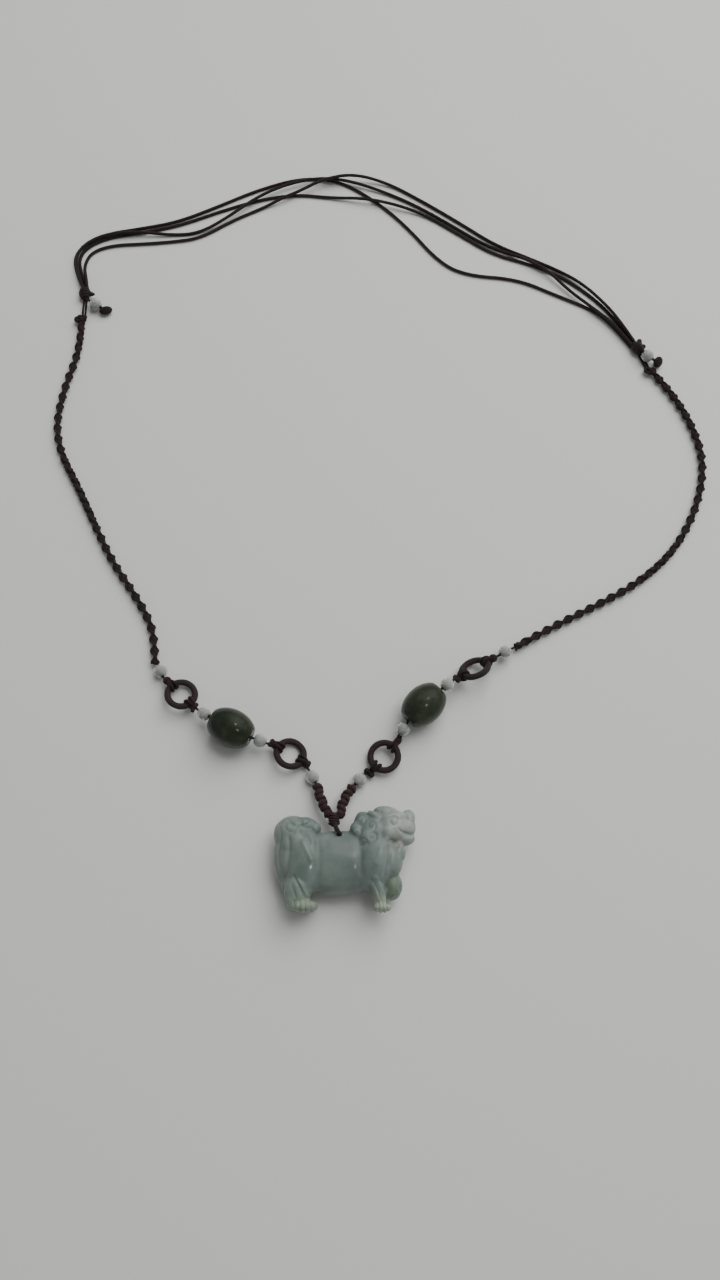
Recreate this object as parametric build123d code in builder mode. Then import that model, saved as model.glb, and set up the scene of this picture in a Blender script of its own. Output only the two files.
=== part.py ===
# Jade qilin pendant on an adjustable knotted cord, laid flat in its wearing loop.
# Millimetres. The origin is on the table in the middle of the neck opening,
# +X points to the wearer's left, +Y to the back of the neck, +Z up from the table.
from build123d import *
import math
import os

os.makedirs("parts", exist_ok=True)

# The qilin, lying on its side with its feet towards -Y
pendant_length = 46.0
pendant_height = 34.0
pendant_thickness = 13.6
bore_diameter = 1.7
bore_bridge = 0.8

# The loop, the wrap and the two knotted arms that carry it
loop_cord_diameter = 1.3
loop_reach = 3.6
loop_sideways = 1.8
loop_slack = 1.4
wrap_diameter = 3.9
wrap_length = 3.5
wrap_edge = 0.5
arm_length = 12.2
arm_diameter = 3.5
arm_pinched_diameter = 3.0
arm_groove = 0.3
arm_knots = 5

# Small white beads, dark green barrel beads, and the thread through them. Loose thread is
# what shows besides on each side of the last bead before the braid.
white_bead_diameter = 4.6
white_bead_bore = 1.6
barrel_length = 15.6
barrel_diameter = 12.6
barrel_end_diameter = 7.2
barrel_bore = 2.0
thread_diameter = 0.8
thread_showing = 0.7
loose_thread = {"left": 0.0, "right": 1.2}

# Cord-wrapped rings, and the hitches that tie the string to them
ring_diameter = 11.4
ring_wire = 2.2
hitch_wall = 0.75
hitch_width = 3.0
stop_knot_diameter = 3.2
stop_knot_reach = 2.6

# Braids, neck strands and the sliding adjuster
braid_diameter = 3.3
strand_diameter = 1.3
strand_spacing = 1.5
thin_cord_diameter = 0.75
thin_cord_spacing = 0.9
slider_diameter = 4.2
slider_length = 4.8
slider_edge = 0.9
slider_ear_diameter = 1.9
top_knot_width = 4.3
top_knot_length = 3.6
end_knot_height = 3.0

# Clearances
touch = 0.1
ring_clearance = 0.12
thread_gap = 0.25
end_knot_gap = 0.25

# Turn of each ring about the string, in degrees
ring_roll = {
    "left_inner_ring": -20.0,
    "left_outer_ring": -16.0,
    "right_inner_ring": 3.0,
    "right_outer_ring": 44.0,
}

# The string and braid of each side, from the wrap to the knot at the top of the braid
string_routes = {
    "left": [
        (-17.9, -131.75, 6.1), (-22.7, -120.0, 2.4), (-27.2, -111.2, 2.1), (-37.8, -107.0, 3.7),
        (-43.0, -106.6, 6.6), (-58.0, -99.0, 6.6), (-63.3, -95.1, 3.6), (-74.1, -84.7, 2.7),
        (-77.9, -78.9, 2.2), (-78.6, -71.0, 1.65), (-80.8, -63.2, 1.65), (-87.3, -52.8, 1.65),
        (-95.0, -41.8, 1.65), (-101.8, -28.5, 1.65), (-109.5, -12.5, 1.65), (-116.2, -0.5, 1.65),
        (-119.2, 12.0, 1.65), (-117.0, 28.0, 1.65), (-112.7, 42.5, 1.65), (-112.9, 54.4, 1.65),
    ],
    "right": [
        (-14.9, -131.75, 6.1), (-10.6, -120.4, 2.4), (-3.9, -116.0, 2.0), (4.6, -106.8, 3.3),
        (7.9, -98.8, 6.7), (19.6, -88.6, 6.7), (25.0, -85.2, 5.3), (38.5, -77.2, 4.9),
        (47.5, -72.0, 1.65), (59.0, -65.6, 1.65), (73.5, -58.4, 1.65), (88.7, -50.2, 1.65),
        (102.6, -38.2, 1.65), (112.6, -21.0, 1.65), (116.7, -3.0, 1.65), (113.0, 13.0, 1.65),
        (106.0, 26.4, 1.65), (102.0, 31.8, 1.65),
    ],
}

# The four neck strands, from the left slider to the right one. Strand 1 lies on the table
# all the way, and each of the others passes over those before it.
strand_routes = {
    "neck_strand_1": [
        (-113.35, 69.45, 0.65), (-117.7, 78.4, 0.65), (-117.5, 87.2, 0.65), (-107.6, 94.4, 0.65),
        (-93.0, 97.0, 0.65), (-79.0, 100.0, 0.65), (-63.5, 107.2, 0.65), (-48.0, 115.0, 0.65),
        (-31.0, 120.6, 0.65), (-16.5, 119.4, 0.65), (-3.0, 110.6, 0.65), (9.5, 98.8, 0.65),
        (22.5, 81.6, 0.65), (33.0, 75.8, 0.65), (52.0, 74.2, 0.65), (66.0, 67.4, 0.65),
        (81.5, 60.0, 0.65), (88.3, 52.6, 0.65), (93.6, 44.7, 0.65),
    ],
    "neck_strand_2": [
        (-111.75, 69.45, 0.65), (-115.8, 78.0, 0.65), (-115.8, 86.4, 0.65), (-107.2, 92.6, 0.65),
        (-92.0, 95.2, 0.65), (-77.5, 98.6, 0.65), (-62.5, 105.0, 0.65), (-47.0, 110.4, 0.65),
        (-33.0, 112.8, 0.65), (-19.0, 111.2, 0.65), (-7.0, 110.0, 2.15), (5.0, 107.4, 2.15),
        (17.0, 103.6, 0.65), (30.0, 94.6, 0.65), (43.0, 85.4, 0.65), (57.0, 80.9, 0.65),
        (69.5, 75.2, 0.65), (82.0, 64.8, 0.65), (89.5, 55.0, 0.65), (94.8, 45.7, 0.65),
    ],
    "neck_strand_3": [
        (-113.35, 69.45, 2.15), (-116.8, 78.2, 2.0), (-116.7, 86.8, 2.0), (-107.4, 93.4, 2.15),
        (-94.0, 94.6, 2.2), (-81.5, 94.0, 0.65), (-70.5, 94.8, 0.65), (-59.0, 101.4, 2.15),
        (-48.0, 110.8, 2.15), (-36.0, 116.8, 2.15), (-24.0, 119.6, 2.15), (-12.0, 118.2, 2.15),
        (2.0, 113.8, 0.65), (14.0, 107.6, 0.65), (27.0, 98.9, 0.65), (40.0, 89.6, 0.65),
        (50.0, 85.4, 0.65), (56.0, 82.1, 2.15), (64.2, 76.8, 2.15), (71.2, 69.0, 1.4),
        (80.5, 60.1, 2.15), (87.8, 53.4, 2.15), (93.6, 44.7, 2.15),
    ],
    "neck_strand_4": [
        (-111.75, 69.4, 2.15), (-112.6, 74.0, 2.0), (-114.0, 80.0, 0.65), (-111.8, 86.2, 0.65),
        (-103.8, 89.4, 0.65), (-92.0, 90.0, 0.65), (-80.5, 91.0, 0.65), (-70.0, 92.6, 0.65),
        (-57.5, 100.8, 0.65), (-45.0, 107.0, 0.65), (-38.5, 110.0, 2.15), (-31.0, 113.6, 2.15),
        (-23.0, 117.4, 3.65), (-11.0, 120.3, 3.65), (2.5, 118.4, 0.65), (15.0, 110.6, 0.65),
        (30.0, 100.2, 0.65), (44.0, 89.6, 0.65), (57.0, 83.6, 0.65), (69.0, 77.6, 0.65),
        (77.5, 71.0, 1.6), (85.5, 61.4, 2.2), (90.2, 54.4, 2.15), (94.8, 45.7, 2.15),
    ],
}

# Each adjuster: where its slider lies and which way the cord runs through it towards the
# braid, which way its ear points, the middle line of the two thin cords between the slider
# and the knot at the top of the braid, where the free tail starts, and where its end knot
# lies, with the way that the knot points and its size along that way and across it
adjusters = {
    "left": {
        "slider": (-112.6, 66.6), "run": (0.06, -1.0), "ear": (1.0, 0.0),
        "cords": ((-112.4, 65.2, 0.9), (-112.5, 56.7, 0.9)), "top_knot": (-113.1, 56.3),
        "tail": (-111.4, 63.8, 3.1), "end_knot": (-104.2, 59.8, 1.6),
        "end_way": (0.99, 0.15), "end_sizes": (4.6, 2.8),
    },
    "right": {
        "slider": (95.8, 43.25), "run": (0.59, -0.81), "ear": (0.35, 0.94),
        "cords": ((96.4, 41.9, 0.8), (99.6, 34.6, 0.7)), "top_knot": (100.1, 34.0),
        "tail": (96.6, 41.8, 4.1), "end_knot": (103.0, 37.6, 1.7),
        "end_way": (0.4, 0.91), "end_sizes": (4.0, 2.9),
    },
}

# The qilin's masses, seen with its upper side towards the viewer and its head to the right:
# centre and half-sizes as shares of the pendant's length, height and thickness, and the turn
# in degrees. A mass with a centre off the middle plane is there on both sides.
qilin_masses = {
    # name: (x, y, z, half_length, half_height, half_thickness, turn)
    "trunk": (-0.037, -0.032, 0.0, 0.40, 0.297, 0.455, 2),
    "haunches": (-0.283, -0.015, 0.118, 0.178, 0.318, 0.382, 12),
    "rump": (-0.36, 0.235, 0.0, 0.139, 0.182, 0.38, 0),
    "tail": (-0.42, 0.035, 0.0, 0.08, 0.27, 0.28, 0),
    "tail_curl": (-0.26, 0.30, 0.0, 0.087, 0.094, 0.30, 0),
    "shoulders": (0.207, -0.015, 0.118, 0.157, 0.30, 0.382, -10),
    "chest": (0.317, 0.015, 0.0, 0.094, 0.182, 0.40, 0),
    "neck": (0.196, 0.235, 0.0, 0.14, 0.212, 0.38, -25),
    "mane": (0.135, 0.325, 0.0, 0.078, 0.127, 0.31, 0),
    "head": (0.337, 0.303, 0.0, 0.157, 0.165, 0.37, 0),
    "muzzle": (0.433, 0.244, 0.0, 0.069, 0.135, 0.28, 0),
    "brow": (0.272, 0.43, 0.0, 0.098, 0.07, 0.265, 0),
    "nose": (0.448, 0.405, 0.0, 0.053, 0.065, 0.22, 0),
    "hind_legs": (-0.315, -0.28, 0.20, 0.102, 0.19, 0.235, -6),
    "hind_paws": (-0.287, -0.43, 0.20, 0.105, 0.07, 0.22, 0),
}
# These are on one side only: the near foreleg stands, and the far one is lifted forward.
qilin_forelegs = {
    "near_foreleg": (0.232, -0.283, 0.19, 0.062, 0.18, 0.22, 15),
    "near_forepaw": (0.261, -0.444, 0.19, 0.07, 0.056, 0.22, 0),
    "far_foreleg": (0.285, -0.12, -0.16, 0.074, 0.15, 0.26, 25),
    "far_forepaw": (0.328, -0.243, -0.15, 0.070, 0.122, 0.25, -12),
}


def finish(piece, name):
    """Label one finished piece and write it."""
    piece.part.label = name
    export_step(piece.part, f"parts/{name}.step")


def laid_line(points):
    """Straight runs joined by tangent arcs, each arc as large as its two runs allow."""
    corners = [Vector(*point) for point in points]
    radii = []
    for before, corner, after in zip(corners, corners[1:], corners[2:]):
        arriving = corner - before
        leaving = after - corner
        half_turn = math.radians(arriving.get_angle(leaving)) / 2
        radii.append(0.45 * min(arriving.length, leaving.length) / math.tan(half_turn))
    with BuildLine() as line:
        FilletPolyline(*corners, radius=radii)
    return line.wire(), min(radii)


def laid_cord(name, points, diameter, cut_by=None):
    """A round cord along a route of points, with its length and tightest bend printed."""
    line, tightest = laid_line(points)
    with BuildPart() as cord:
        with BuildSketch(Plane(origin=line @ 0, z_dir=line % 0)):
            Circle(diameter / 2)
        sweep(path=line)
        if cut_by:
            add(cut_by, mode=Mode.SUBTRACT)
    section = math.pi * (diameter / 2) ** 2
    share = cord.part.volume / (section * line.length)
    print(f"{name}: length {line.length:.1f}, tightest radius {tightest:.1f}, volume share {share:.3f}")
    finish(cord, name)


def straight_cord(name, points, diameter):
    """A thin thread in short straight lengths from point to point."""
    with BuildPart() as cord:
        with BuildLine() as line:
            Polyline(*points)
        with BuildSketch(Plane(origin=line.wire() @ 0, z_dir=line.wire() % 0)):
            Circle(diameter / 2)
        sweep(path=line.wire(), transition=Transition.RIGHT)
    finish(cord, name)


def point_on(line, distance):
    return line.position_at(distance, position_mode=PositionMode.LENGTH)


def seat_between(start, end):
    """The plane half-way between two points, Z along the string and X level."""
    along = end - start
    return Plane(origin=(start + end) / 2, x_dir=Vector(0, 0, 1).cross(along), z_dir=along)


def profile_plane(seat):
    """The plane that holds a turned piece's profile: X outwards, Y along the string."""
    return Plane(origin=seat.origin, x_dir=seat.x_dir, z_dir=seat.x_dir.cross(seat.z_dir))


def oval(plane, half_sizes, mode=Mode.ADD):
    """An ellipsoid on a plane, with its poles along the plane's X."""
    ball = Sphere(1, rotation=(0, 90, 0), mode=Mode.PRIVATE)
    unit = scale(ball, by=half_sizes, mode=Mode.PRIVATE)
    add(plane.location * unit, mode=mode)


def white_bead(name, seat):
    with BuildPart(seat) as bead:
        Sphere(white_bead_diameter / 2)
        Cylinder(white_bead_bore / 2, 2 * white_bead_diameter, mode=Mode.SUBTRACT)
    finish(bead, name)


def barrel_bead(name, seat):
    half = barrel_length / 2
    with BuildPart() as bead:
        with BuildSketch(profile_plane(seat)):
            with BuildLine():
                Polyline(
                    (barrel_end_diameter / 2, half), (barrel_bore / 2, half),
                    (barrel_bore / 2, -half), (barrel_end_diameter / 2, -half),
                )
                ThreePointArc(
                    (barrel_end_diameter / 2, -half), (barrel_diameter / 2, 0),
                    (barrel_end_diameter / 2, half),
                )
            make_face()
        revolve(axis=Axis(seat.origin, seat.z_dir))
    finish(bead, name)


def knotted_arm(name, seat):
    """A row of flat round knots, pinched at the end that goes into the wrap."""
    pitch = arm_length / arm_knots
    with BuildPart() as arm:
        with BuildSketch(profile_plane(seat)):
            with BuildLine():
                Line((0, -arm_length / 2), (arm_pinched_diameter / 2 - arm_groove, -arm_length / 2))
                valley = arm_pinched_diameter / 2 - arm_groove
                for knot in range(arm_knots):
                    swell = min(1, (knot + 1) / 2)
                    peak = arm_pinched_diameter / 2
                    peak += swell * (arm_diameter - arm_pinched_diameter) / 2 if knot else 0
                    next_valley = peak - arm_groove
                    low = -arm_length / 2 + knot * pitch
                    ThreePointArc((valley, low), (peak, low + pitch / 2), (next_valley, low + pitch))
                    valley = next_valley
                Line((valley, arm_length / 2), (0, arm_length / 2))
                Line((0, arm_length / 2), (0, -arm_length / 2))
            make_face()
        revolve(axis=Axis(seat.origin, seat.z_dir))
        add(grown_wrap, mode=Mode.SUBTRACT)
    keep_longest(arm)
    finish(arm, name)


def wrapped_ring(name, line, start):
    """A ring on the string with a hitch and stop knot at each end. Returns where the thread
    ends below the lower knot and starts again above the upper one."""
    finish_distance = start + ring_diameter
    seat = seat_between(point_on(line, start), point_on(line, finish_distance))
    roll = math.radians(ring_roll[name])
    normal = seat.y_dir * math.cos(roll) + seat.x_dir * math.sin(roll)
    wire_circle = (ring_diameter - ring_wire) / 2
    with BuildPart(Plane(origin=seat.origin, x_dir=seat.z_dir, z_dir=normal)) as ring:
        Torus(wire_circle, ring_wire / 2)
    finish(ring, name)

    knot_radius = stop_knot_diameter / 2
    knot_offset = stop_knot_reach - knot_radius
    tip_offset = stop_knot_reach + thread_gap
    tips = []
    for end, way, edge in (("lower", -1, start), ("upper", 1, finish_distance)):
        outward_plane = Plane(origin=seat.origin, x_dir=seat.z_dir * way, z_dir=normal)
        knot_place = point_on(line, edge + way * knot_offset)
        with BuildPart(outward_plane) as hitch:
            with Locations((wire_circle, 0, 0)):
                Cylinder(ring_wire / 2 + hitch_wall, hitch_width, rotation=(90, 0, 0))
            with Locations(outward_plane.to_local_coords(knot_place)):
                Sphere(knot_radius)
            Torus(wire_circle, ring_wire / 2 + ring_clearance, mode=Mode.SUBTRACT)
        finish(hitch, f"{name}_{end}_hitch")
        tips.append(point_on(line, edge + way * tip_offset))
    return tips


def string_of_beads(side):
    """Lay one side's pieces along its route, tie them with thread, and braid the rest."""
    points = string_routes[side]
    line, _ = laid_line(points)
    order = [
        ("arm", arm_length), ("bead", white_bead_diameter), ("inner_ring", ring_diameter),
        ("bead", white_bead_diameter), ("barrel", barrel_length), ("bead", white_bead_diameter),
        ("outer_ring", ring_diameter), ("bead", white_bead_diameter),
    ]
    distance = 0.0
    beads = 0
    threads = 0
    thread = []
    for piece, length in order:
        margin = stop_knot_reach if piece.endswith("ring") else 0
        distance += margin
        start = point_on(line, distance)
        end = point_on(line, distance + length)
        seat = seat_between(start, end)
        if piece == "arm":
            knotted_arm(f"{side}_knotted_arm", seat)
            thread = [point_on(line, distance + length + thread_gap)]
        elif piece == "bead":
            beads += 1
            white_bead(f"{side}_white_bead_{beads}", seat)
            thread += [start, end]
        elif piece == "barrel":
            barrel_bead(f"{side}_barrel_bead", seat)
            thread += [start, end]
        else:
            lower_tip, upper_tip = wrapped_ring(f"{side}_{piece}", line, distance)
            threads += 1
            straight_cord(f"{side}_thread_{threads}", thread + [lower_tip], thread_diameter)
            thread = [upper_tip]
        distance += length + margin + thread_showing
        if piece == "outer_ring" or beads == 4:
            distance += loose_thread[side]

    braid_start = point_on(line, distance)
    threads += 1
    last = point_on(line, distance - thread_gap)
    straight_cord(f"{side}_thread_{threads}", thread + [last], thread_diameter)

    # The braid takes the rest of the route: a chosen point just past its start is skipped.
    rest = [tuple(braid_start)]
    laid = 0.0
    for before, point in zip(points, points[1:]):
        laid += (Vector(*point) - Vector(*before)).length
        if laid > distance + 1.3 * braid_diameter:
            rest.append(point)
    laid_cord(f"{side}_braid", rest, braid_diameter)


def adjuster(side):
    """A slider knot, two thin cords to the knot at the top of the braid, and a free tail
    with a white bead and an end knot."""
    place = adjusters[side]
    run = Vector(*place["run"], 0).normalized()
    across = Vector(0, 0, 1).cross(run)
    centre = Vector(*place["slider"], slider_diameter / 2)
    slider_plane = Plane(origin=centre, x_dir=across, z_dir=run)
    with BuildPart(slider_plane) as slider:
        Cylinder(slider_diameter / 2, slider_length)
        fillet(slider.edges(), radius=slider_edge)
        ear = Vector(*place["ear"], 0).normalized() * (slider_diameter / 2)
        with Locations(slider_plane.to_local_coords(centre + ear)):
            Sphere(slider_ear_diameter / 2)
    finish(slider, f"{side}_slider_knot")

    knot_centre = Vector(*place["top_knot"], top_knot_length / 2)
    knot_plane = Plane(origin=knot_centre, x_dir=(1, 0, 0), z_dir=(0, 0, 1))
    knot_halves = (top_knot_width / 2, top_knot_length / 2, top_knot_length / 2)
    with BuildPart() as top_knot:
        oval(knot_plane, knot_halves)
    finish(top_knot, f"{side}_braid_top_knot")

    # The thin cords start inside the slider, end inside the knot, and are cut back by both.
    with BuildPart(slider_plane, mode=Mode.PRIVATE) as slider_clearance:
        Cylinder(slider_diameter / 2 + touch, slider_length + 2 * touch)
    grown_halves = tuple(half + touch for half in knot_halves)
    for number, offset in ((1, -0.5), (2, 0.5)):
        shift = across * (offset * thin_cord_spacing)
        start, end = (Vector(*point) + shift for point in place["cords"])
        with BuildPart() as cord:
            with BuildSketch(Plane(origin=start, z_dir=end - start)):
                Circle(thin_cord_diameter / 2)
            extrude(amount=(end - start).length)
            oval(knot_plane, grown_halves, mode=Mode.SUBTRACT)
            add(slider_clearance.part, mode=Mode.SUBTRACT)
        keep_longest(cord)
        finish(cord, f"{side}_thin_cord_{number}")

    tail_start = Vector(*place["tail"])
    tail_end = Vector(*place["end_knot"])
    tail_line = (tail_end - tail_start).normalized()
    end_plane = Plane(origin=tail_end, x_dir=Vector(*place["end_way"], 0), z_dir=(0, 0, 1))
    end_halves = (place["end_sizes"][0] / 2, place["end_sizes"][1] / 2, end_knot_height / 2)
    with BuildPart() as end_knot:
        oval(end_plane, end_halves)
    finish(end_knot, f"{side}_end_knot")
    arrival = end_plane.to_local_coords(tail_end + tail_line)
    knot_reach = 1 / math.hypot(*(part / half for part, half in zip(arrival, end_halves)))
    knot_face = tail_end - tail_line * (knot_reach + end_knot_gap)
    white_bead(
        f"{side}_end_bead",
        Plane(origin=knot_face - tail_line * (white_bead_diameter / 2 + touch), z_dir=tail_line),
    )
    with BuildPart() as tail:
        with BuildSketch(Plane(origin=tail_start, z_dir=tail_line)):
            Circle(strand_diameter / 2)
        extrude(amount=(knot_face - tail_start).length)
        add(slider_clearance.part, mode=Mode.SUBTRACT)
    keep_longest(tail)
    finish(tail, f"{side}_tail")


def keep_longest(piece):
    """Drop the sliver that lies beyond a cut, keeping the piece itself."""
    solids = piece.solids().sort_by(SortBy.VOLUME)
    for sliver in solids[:-1]:
        add(sliver, mode=Mode.SUBTRACT)


def qilin_size(shares):
    return (
        shares[0] * pendant_length, shares[1] * pendant_height, shares[2] * pendant_thickness,
    )


# Where the wrap, the bore and the pendant lie, one after another. The arms and the loop
# start a little way inside the wrap and are cut back by it.
arm_starts = [Vector(*string_routes[side][0]) for side in ("left", "right")]
wrap_top = (arm_starts[0] + arm_starts[1]) / 2 + Vector(0, arm_pinched_diameter / 4, 0)
wrap_centre = wrap_top - Vector(0, wrap_length / 2, 0)
wrap_foot = wrap_top - Vector(0, wrap_length, 0)
bore_place = wrap_foot + Vector(loop_sideways, -loop_reach, 0)

with BuildPart(Plane(origin=wrap_centre, z_dir=(0, 1, 0))) as centre_wrap:
    Cylinder(wrap_diameter / 2, wrap_length)
    fillet(centre_wrap.edges(), radius=wrap_edge)
finish(centre_wrap, "centre_wrap")

with BuildPart(Plane(origin=wrap_centre, z_dir=(0, 1, 0)), mode=Mode.PRIVATE) as wrap_clearance:
    Cylinder(wrap_diameter / 2 + touch, wrap_length + 2 * touch)
grown_wrap = wrap_clearance.part

trunk = qilin_masses["trunk"]
trunk_centre = Vector(*qilin_size(trunk[:3]))
trunk_half = Vector(*qilin_size(trunk[3:6]))
bore_local = Vector(
    trunk_centre.X, trunk_centre.Y + trunk_half.Y - bore_bridge - bore_diameter / 2, 0
)
middle_height = pendant_thickness / 2
pendant_centre = Vector(
    bore_place.X - bore_local.X, bore_place.Y - bore_local.Y, middle_height
)
bore_depth_share = math.sqrt(1 - ((bore_local.Y - trunk_centre.Y) / trunk_half.Y) ** 2)
bore_half_length = trunk_half.Z * bore_depth_share

# The carving is made about its own middle and then laid in its place.
with BuildPart() as carving:
    for x, y, z, *rest in list(qilin_masses.values()) + list(qilin_forelegs.values()):
        paired = z > 0 and (x, y, z, *rest) in qilin_masses.values()
        for level in ((z, -z) if paired else (z,)):
            turned = Plane(origin=qilin_size((x, y, level))).rotated((0, 0, rest[3]))
            oval(turned, qilin_size(rest[:3]))
    with Locations(bore_local):
        Cylinder(bore_diameter / 2, 2 * pendant_thickness, mode=Mode.SUBTRACT)
with BuildPart() as qilin_pendant:
    add(carving.part.moved(Location(pendant_centre)))
finish(qilin_pendant, "qilin_pendant")

over_bore = bore_half_length + loop_slack
beside = wrap_foot + Vector(0.55 * loop_sideways, -0.5 * loop_reach, 0)
wrap_spacing = (loop_cord_diameter + 2 * touch) / 2
laid_cord(
    "hanging_loop",
    [
        (wrap_foot.X, wrap_foot.Y + wrap_edge, wrap_centre.Z + wrap_spacing),
        (beside.X, beside.Y, middle_height + over_bore - 0.4 * loop_slack),
        (bore_place.X, bore_place.Y, middle_height + over_bore),
        (bore_place.X, bore_place.Y, middle_height - over_bore),
        (beside.X, beside.Y, middle_height - over_bore + 0.4 * loop_slack),
        (wrap_foot.X, wrap_foot.Y + wrap_edge, wrap_centre.Z - wrap_spacing),
    ],
    loop_cord_diameter,
    cut_by=grown_wrap,
)

for side in string_routes:
    string_of_beads(side)
    adjuster(side)

for name, points in strand_routes.items():
    laid_cord(name, points, strand_diameter)
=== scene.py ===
import bpy
import numpy as np
from math import radians, pi, sin, cos, sqrt
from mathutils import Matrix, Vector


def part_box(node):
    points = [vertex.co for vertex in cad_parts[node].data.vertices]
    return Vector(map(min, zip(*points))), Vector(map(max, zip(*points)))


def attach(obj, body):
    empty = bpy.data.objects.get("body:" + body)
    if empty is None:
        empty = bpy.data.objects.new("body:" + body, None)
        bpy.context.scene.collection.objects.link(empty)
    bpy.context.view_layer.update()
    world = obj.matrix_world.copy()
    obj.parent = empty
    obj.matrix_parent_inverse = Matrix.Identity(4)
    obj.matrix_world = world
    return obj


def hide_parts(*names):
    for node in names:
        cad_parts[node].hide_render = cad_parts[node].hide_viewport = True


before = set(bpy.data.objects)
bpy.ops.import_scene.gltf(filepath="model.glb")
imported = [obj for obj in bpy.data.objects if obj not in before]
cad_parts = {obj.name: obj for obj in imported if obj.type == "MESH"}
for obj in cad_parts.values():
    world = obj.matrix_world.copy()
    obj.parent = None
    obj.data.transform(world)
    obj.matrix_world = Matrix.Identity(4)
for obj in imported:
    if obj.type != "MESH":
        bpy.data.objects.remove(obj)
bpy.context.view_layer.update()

# camera
# A phone held above the table, tilted a little towards the back of the neck.
def placed(name, data):
    """A new object with this data, in the scene."""
    made = bpy.data.objects.new(name, data)
    bpy.context.scene.collection.objects.link(made)
    return made


camera = placed("camera", bpy.data.cameras.new("camera"))
camera.location = (-0.008, -0.182, 0.366)
camera.rotation_euler = (radians(17), 0, 0)
camera.data.sensor_width = 36
camera.data.lens = 31.16
camera.data.clip_start = 0.01
bpy.context.scene.camera = camera


# waxed cord
# Dark brown waxed thread: a fine diagonal weave from the UVs, which run in millimetres
# along the cord and once round it, lighter in patches on its crowns and darker in its hollows.
def node(tree, kind, **settings):
    """A new shader node. A setting in_X is the value of its socket X."""
    made = tree.nodes.new(kind)
    for key, value in settings.items():
        if key.startswith("in_"):
            made.inputs[key[3:].replace("_", " ")].default_value = value
        else:
            setattr(made, key, value)
    return made


def link(tree, *pairs):
    """Link each pair of sockets."""
    for source, target in pairs:
        tree.links.new(source, target)


def maths(tree, operation, *values):
    """The result of a maths node on numbers and sockets."""
    made = node(tree, "ShaderNodeMath", operation=operation)
    for socket, value in zip(made.inputs, values):
        if isinstance(value, (int, float)):
            socket.default_value = value
        else:
            tree.links.new(value, socket)
    return made.outputs[0]


def texture(tree, kind, **settings):
    """A texture node over the object's own coordinates."""
    made = node(tree, kind, **settings)
    link(tree, (node(tree, "ShaderNodeTexCoord").outputs["Object"], made.inputs["Vector"]))
    return made


def bump_skin(tree, shader, height, strength, distance):
    """Raise the shader's surface by a height."""
    bump = node(tree, "ShaderNodeBump", in_Strength=strength, in_Distance=distance)
    link(tree, (height, bump.inputs["Height"]), (bump.outputs[0], shader.inputs["Normal"]))


def new_material(name, finish):
    """A material, its nodes and its shader, with the finish set on the shader's own sockets."""
    material = bpy.data.materials.new(name)
    material.use_nodes = True
    shader = material.node_tree.nodes["Principled BSDF"]
    for socket, value in finish.items():
        shader.inputs[socket].default_value = value
    return material, material.node_tree, shader


def new_group(name, given, result):
    """A node group, the sockets that it is given and those of its result."""
    group = bpy.data.node_groups.new(name, "ShaderNodeTree")
    for flow, sockets in (("INPUT", given), ("OUTPUT", result)):
        for socket, kind in sockets.items():
            group.interface.new_socket(socket, in_out=flow, socket_type=kind)
    return group, group.nodes.new("NodeGroupInput").outputs, group.nodes.new("NodeGroupOutput").inputs


plain = "NodeSocketFloat"
weave, given, result = new_group(
    "cord_weave", {"Pitch": plain, "Threads": plain}, {"Crown": plain, "Height": plain, "Tint": plain}
)
split = node(weave, "ShaderNodeSeparateXYZ")
link(weave, (node(weave, "ShaderNodeUVMap").outputs[0], split.inputs[0]))
along = maths(weave, "MULTIPLY", maths(weave, "DIVIDE", split.outputs[0], given["Pitch"]), 2 * pi)
around = maths(weave, "MULTIPLY", maths(weave, "MULTIPLY", split.outputs[1], given["Threads"]), pi)
right = maths(weave, "SINE", maths(weave, "ADD", along, around))
left = maths(weave, "SINE", maths(weave, "SUBTRACT", along, around))
crown = maths(weave, "ABSOLUTE", maths(weave, "MULTIPLY", right, left))
fibre, patch, drift = (
    texture(weave, "ShaderNodeTexNoise", in_Scale=scale, in_Detail=detail).outputs[0]
    for scale, detail in ((2600.0, 3.0), (160.0, 2.0), (45.0, 1.0))
)
height = maths(weave, "ADD", maths(weave, "POWER", crown, 0.6), maths(weave, "MULTIPLY", fibre, 0.35))
# The colour is lighter in patches on the crowns of the weave and darker in its hollows.
lighter_crowns = maths(weave, "MULTIPLY", crown, maths(weave, "MULTIPLY", patch, 1.5))
link(weave, (lighter_crowns, result["Crown"]), (height, result["Height"]), (drift, result["Tint"]))


def cord_material(name, red, brown, crown, threads=6, pitch=1.1, depth=0.5):
    """Dark cord: red and brown are its two tones in the hollows, and crown is the lighter one on the crowns
    of the weave.
    """
    material, tree, shader = new_material(
        name, {"Roughness": 0.56, "Specular IOR Level": 0.28, "Sheen Weight": 0.03, "Sheen Roughness": 0.4}
    )
    woven = node(tree, "ShaderNodeGroup", node_tree=weave, in_Pitch=pitch, in_Threads=threads)
    spread = node(tree, "ShaderNodeMapRange", in_From_Min=0.42, in_From_Max=0.58)
    shade = node(tree, "ShaderNodeMix", data_type="RGBA", in_A=(*red, 1), in_B=(*brown, 1))
    lighter_crowns = node(tree, "ShaderNodeMix", data_type="RGBA", in_B=(*crown, 1))
    link(
        tree,
        (woven.outputs["Tint"], spread.inputs["Value"]), (spread.outputs[0], shade.inputs["Factor"]),
        (shade.outputs["Result"], lighter_crowns.inputs["A"]), (woven.outputs["Crown"], lighter_crowns.inputs["Factor"]),
        (lighter_crowns.outputs["Result"], shader.inputs["Base Color"]),
    )
    bump_skin(tree, shader, woven.outputs["Height"], depth, 0.00012)
    return material


dark_cord = cord_material(
    "dark_cord", (0.0115, 0.0050, 0.0058), (0.0080, 0.0072, 0.0060), (0.024, 0.0150, 0.0150)
)


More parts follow.
